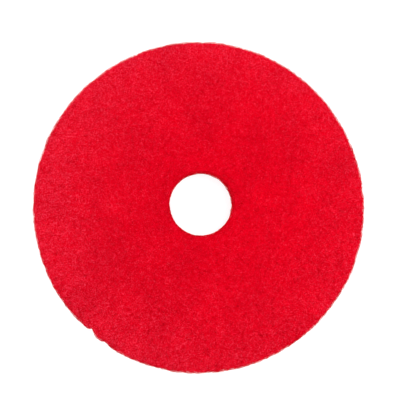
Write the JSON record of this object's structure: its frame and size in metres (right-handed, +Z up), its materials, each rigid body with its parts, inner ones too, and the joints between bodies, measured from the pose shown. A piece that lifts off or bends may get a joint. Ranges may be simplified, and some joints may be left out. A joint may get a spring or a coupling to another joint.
{
  "type": "floor pad for a rotary floor machine",
  "caption": "Flat round non-woven fibre floor pad with an open die-cut centre hole, driven by the pad holder of a rotary floor machine.",
  "frame": {"origin": "centre of the bore at the lower face of the pad, which is the face that lies on the floor", "axes": "+Z up along the bore axis, from the floor towards the pad holder; X and Y are any two directions across the disc"},
  "size_m": [0.4319, 0.432, 0.025],
  "materials": {
    "red_fibre": "open non-woven web of crimped polyester fibres bonded with red resin"
  },
  "bodies": {
    "root": {"floor_pad": "red_fibre"}
  },
  "joints": []
}
